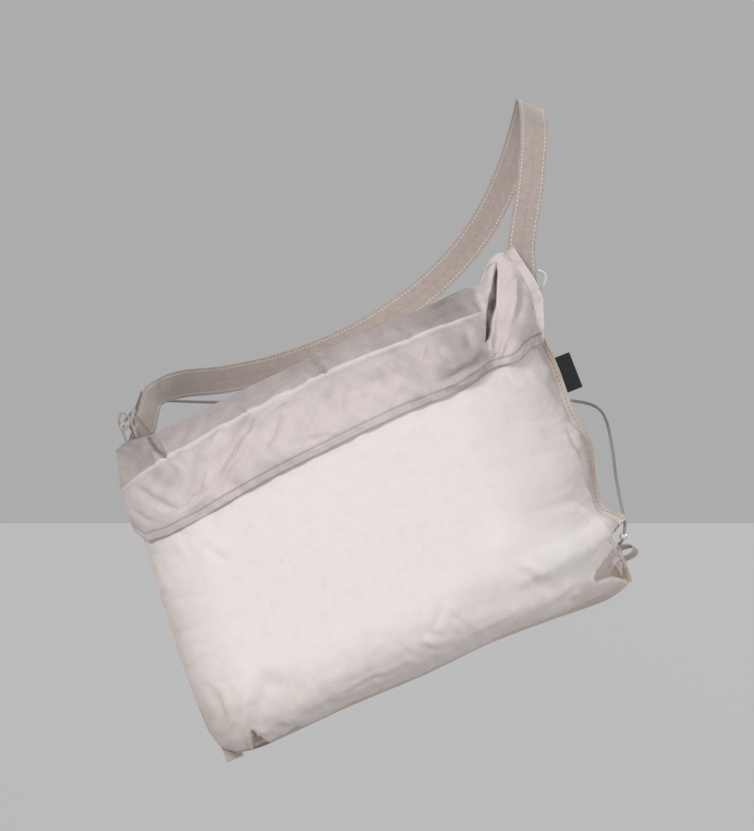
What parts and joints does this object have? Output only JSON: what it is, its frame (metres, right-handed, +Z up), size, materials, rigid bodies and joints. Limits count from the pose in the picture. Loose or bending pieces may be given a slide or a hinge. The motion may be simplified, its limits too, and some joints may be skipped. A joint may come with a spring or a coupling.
{
  "type": "cycling musette bag",
  "caption": "Light shoulder bag with a filled main compartment, a fold-over flap, a webbing strap with a slider and a thin stabiliser cord, in its worn form.",
  "frame": {"origin": "underside of the shoulder strap where it lies over the top of the wearer's right shoulder", "axes": "+Z up, +X to the wearer's right across the back, -Y to the outer side of the bag, away from the wearer's back"},
  "size_m": [0.4057, 0.3127, 0.522],
  "materials": {
    "front_cloth": "matt ripstop nylon",
    "taupe_cloth": "matt ripstop nylon",
    "webbing": "woven",
    "pale_tape": "ribbed",
    "elastic": "braided",
    "cord": "braided",
    "bead": "smooth",
    "hardware": "moulded",
    "label": "woven"
  },
  "bodies": {
    "root": {"front_panel": "front_cloth", "back_panel": "taupe_cloth", "flap": "taupe_cloth", "shoulder_strap": "webbing", "anchor_webbing": "webbing", "strap_slider": "hardware", "elastic_loop_right": "elastic", "elastic_loop_left": "elastic", "stabiliser_cord": "cord", "cord_bead": "bead", "toggle": "hardware", "tape_loop_right": "pale_tape", "tape_loop_left": "pale_tape", "side_label": "label"}
  },
  "joints": []
}
